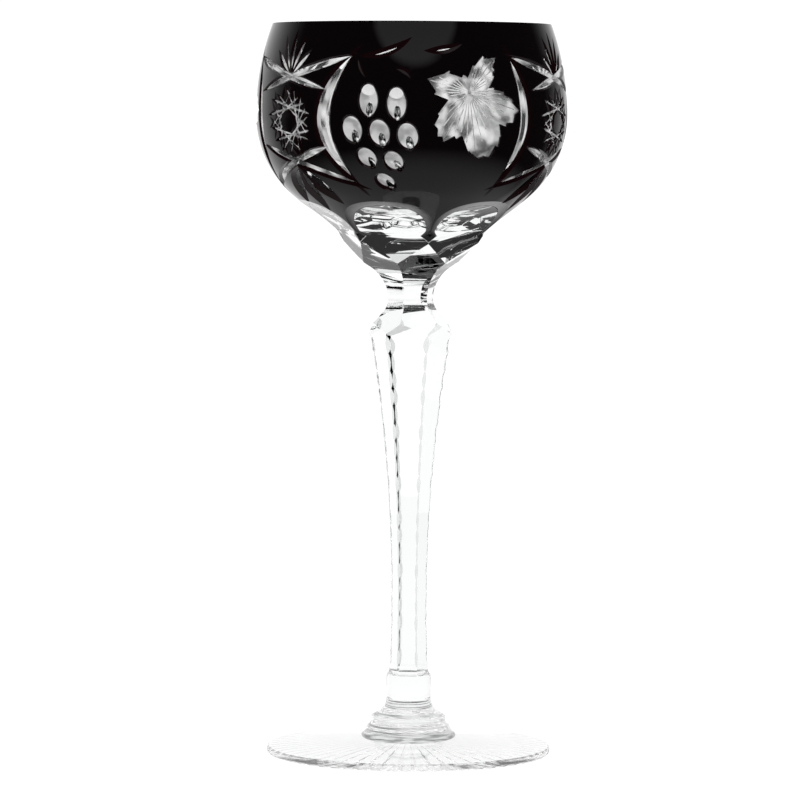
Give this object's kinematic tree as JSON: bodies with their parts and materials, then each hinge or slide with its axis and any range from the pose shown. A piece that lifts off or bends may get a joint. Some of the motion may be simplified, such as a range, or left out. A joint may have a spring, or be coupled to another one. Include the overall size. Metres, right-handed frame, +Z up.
{
  "type": "roemer wine glass",
  "caption": "Tall wine roemer in cut crystal: a clear bowl cased in black glass and cut through to the clear, on a six-sided stem, a merese and a round star-cut foot.",
  "frame": {"origin": "middle of the foot's underside, on the glass's axis", "axes": "+Z up the stem towards the rim, -Y towards the first grape medallion"},
  "size_m": [0.086, 0.086, 0.2021],
  "materials": {
    "clear_crystal": "polished",
    "black_glass": "polished"
  },
  "bodies": {
    "root": {"foot": "clear_crystal", "merese": "clear_crystal", "stem": "clear_crystal", "crystal_bowl": "clear_crystal", "black_overlay": "black_glass"}
  },
  "joints": []
}
